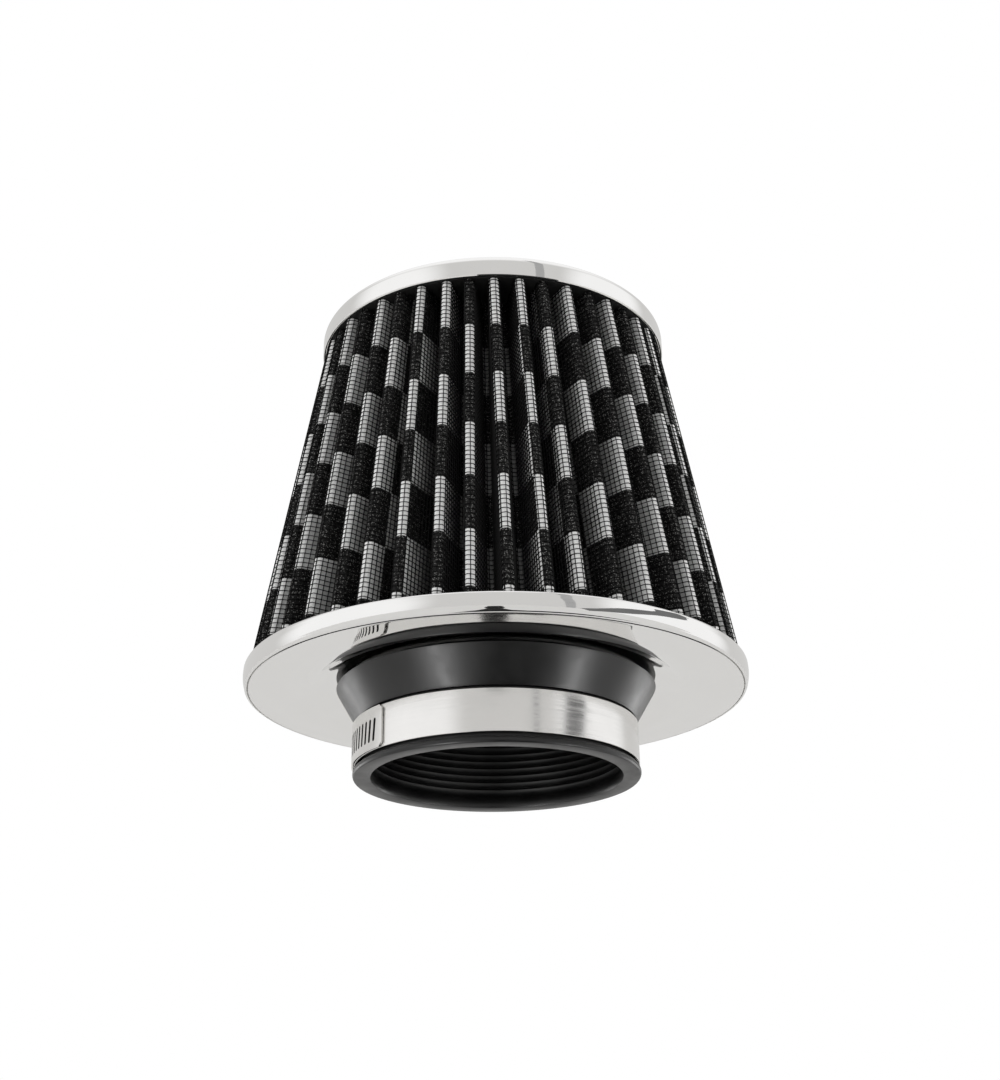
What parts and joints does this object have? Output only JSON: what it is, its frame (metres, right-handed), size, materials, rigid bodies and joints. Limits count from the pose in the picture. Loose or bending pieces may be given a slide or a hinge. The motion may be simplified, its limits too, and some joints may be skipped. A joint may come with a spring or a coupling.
{
  "type": "round tapered air filter",
  "caption": "Round tapered clamp-on intake air filter: pleated mesh-covered cone between polished end caps, on a flexible neck with a worm-drive clamp.",
  "frame": {"origin": "centre of the neck's open mouth, in the plane of the mouth's face", "axes": "+Z along the neck and the cone, from the mouth towards the top cap; -Y is the front"},
  "size_m": [0.1552, 0.1552, 0.1499],
  "materials": {
    "chrome": "mirror polished plating",
    "urethane": "moulded, satin",
    "black_wire": "black coated wire cloth",
    "checked_fabric": "silver and black checks, woven",
    "cotton": "plain cotton gauze",
    "seam_metal": "folded strip",
    "neck_rubber": "moulded, satin",
    "clamp_steel": "bright rolled stainless"
  },
  "bodies": {
    "element": {"top_cap_shell": "chrome", "upper_potting_disc": "urethane", "outer_wire_mesh": "black_wire", "checked_fabric_ply": "checked_fabric", "cotton_gauze_ply": "cotton", "inner_wire_mesh": "black_wire", "media_seam_clip": "seam_metal", "lower_potting_ring": "urethane", "base_cap_shell": "chrome", "rubber_neck": "neck_rubber"},
    "clamp": {"clamp_band": "clamp_steel", "clamp_saddle": "clamp_steel", "clamp_housing": "clamp_steel"},
    "screw": {"clamp_screw": "clamp_steel"},
    "tail": {"clamp_band_tail": "clamp_steel"}
  },
  "joints": [
    {"name": "clamp_turn", "type": "hinge", "parent": "element", "child": "clamp", "pos_m": [0, 0, 0.00955], "axis": [0, 0, 1], "range_deg": [-180, 180]},
    {"name": "screw_turn", "type": "hinge", "parent": "clamp", "child": "screw", "pos_m": [-0.02395, 0.04148, 0.00955], "axis": [0.866, 0.5, 0], "range_deg": [-4320, 720]},
    {"name": "tail_slide", "type": "hinge", "parent": "clamp", "child": "tail", "pos_m": [0, 0, 0.00955], "axis": [0, 0, 1], "range_deg": [-39.2, 6.5]}
  ],
  "couplings": [
    {"joint": "screw_turn", "follows": "tail_slide", "ratio": 110.02}
  ]
}
